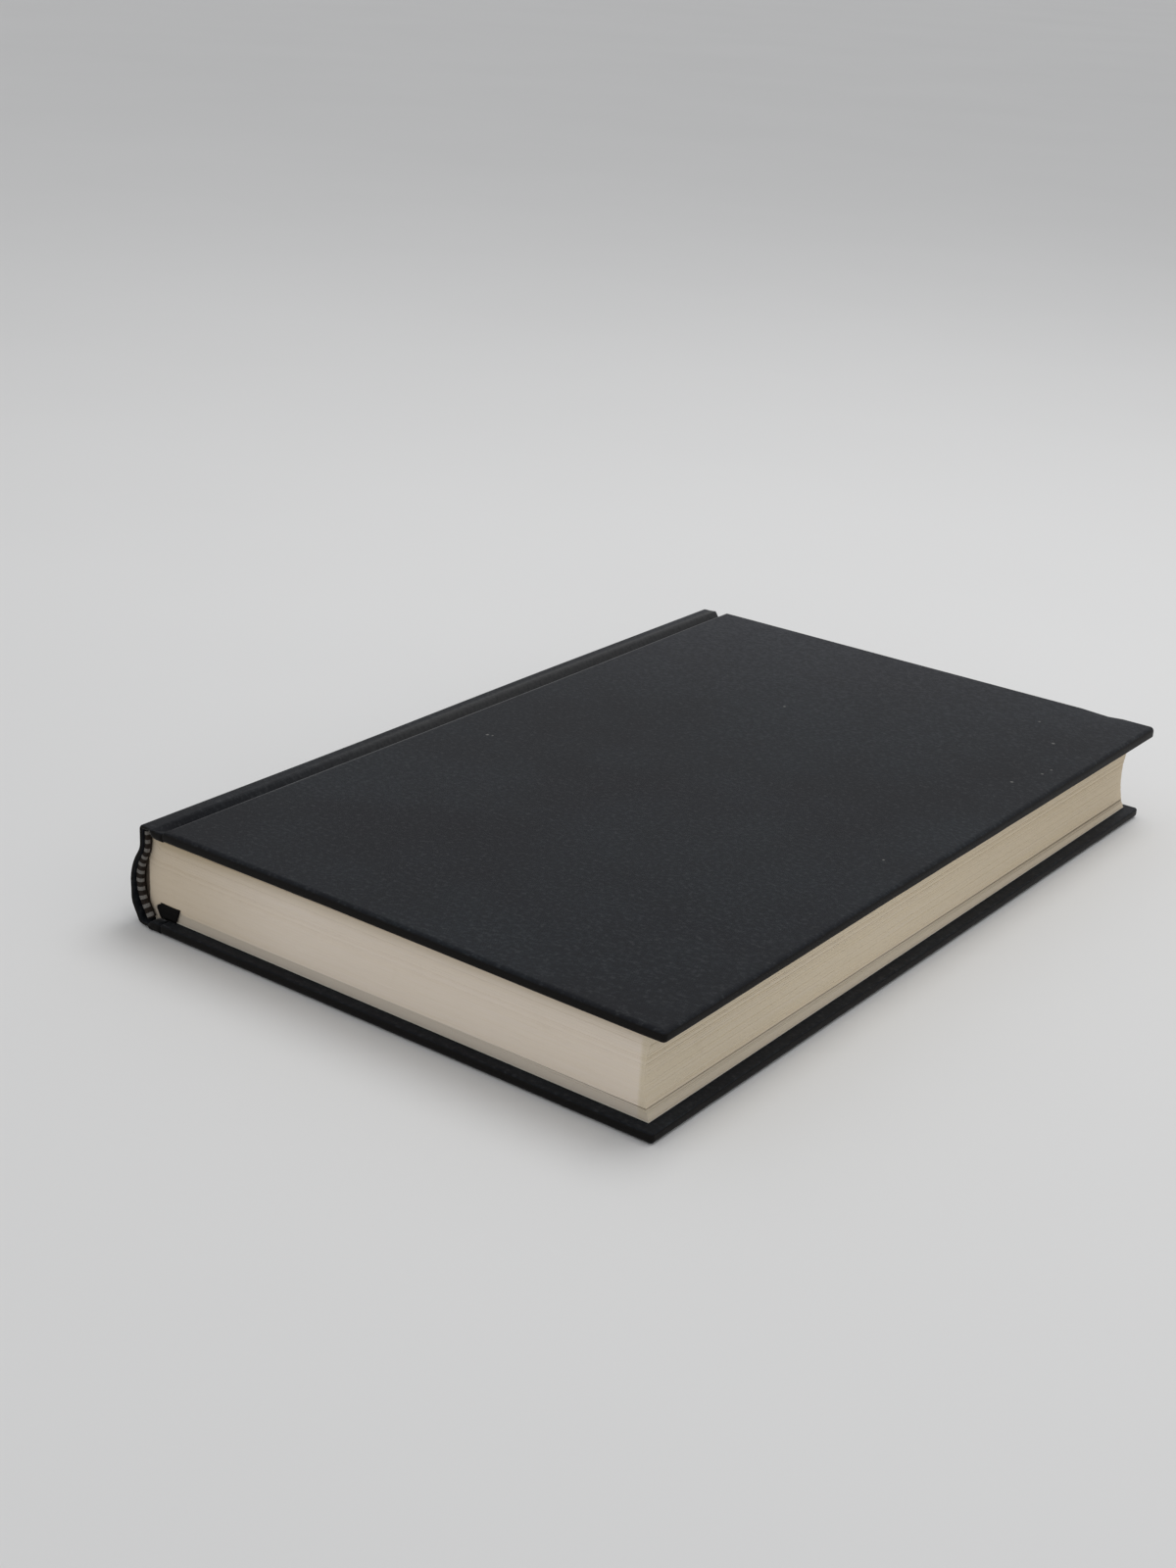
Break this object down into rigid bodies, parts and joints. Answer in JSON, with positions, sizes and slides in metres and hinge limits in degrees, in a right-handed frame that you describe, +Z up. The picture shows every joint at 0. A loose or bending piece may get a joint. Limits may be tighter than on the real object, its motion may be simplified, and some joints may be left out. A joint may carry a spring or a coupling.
{
  "type": "hardback book",
  "caption": "Hardback book, case-bound, with a rounded spine, blank dark cloth covers that hinge open, striped headbands and a black ribbon marker.",
  "frame": {"origin": "on the table, under the middle of the closed book's bounding box", "axes": "+Z up through the closed covers, +Y from tail to head, +X from spine to fore edge"},
  "size_m": [0.144, 0.222, 0.0254],
  "materials": {
    "case_cloth": "matt imitation book cloth, dark charcoal",
    "greyboard": "plain greyboard",
    "spine_card": "plain manila card",
    "leaves": "uncoated cream book paper, trimmed edges",
    "end_paper": "smooth uncoated end paper",
    "lining_paper": "brown kraft paper",
    "mull": "open starched cotton gauze",
    "headband": "black and white silk thread over a cord",
    "ribbon": "black satin ribbon"
  },
  "bodies": {
    "book_block": {"page_block": "leaves", "front_flyleaf": "end_paper", "back_flyleaf": "end_paper", "head_band": "headband", "tail_band": "headband", "ribbon_marker": "ribbon", "spine_mull": "mull", "spine_lining": "lining_paper", "spine_card": "spine_card", "spine_cloth": "case_cloth"},
    "front_cover": {"front_board": "greyboard", "front_cover_cloth": "case_cloth", "front_mull_flap": "mull", "front_pastedown": "end_paper"},
    "back_cover": {"back_board": "greyboard", "back_cover_cloth": "case_cloth", "back_mull_flap": "mull", "back_pastedown": "end_paper"}
  },
  "joints": [
    {"name": "front_cover_hinge", "type": "hinge", "parent": "book_block", "child": "front_cover", "pos_m": [-0.06632, 0, 0.0229], "axis": [0, -1, 0], "range_deg": [0, 178]},
    {"name": "back_cover_hinge", "type": "hinge", "parent": "book_block", "child": "back_cover", "pos_m": [-0.06753, 0, 0.0025], "axis": [0, 1, 0], "range_deg": [0, 178]}
  ]
}
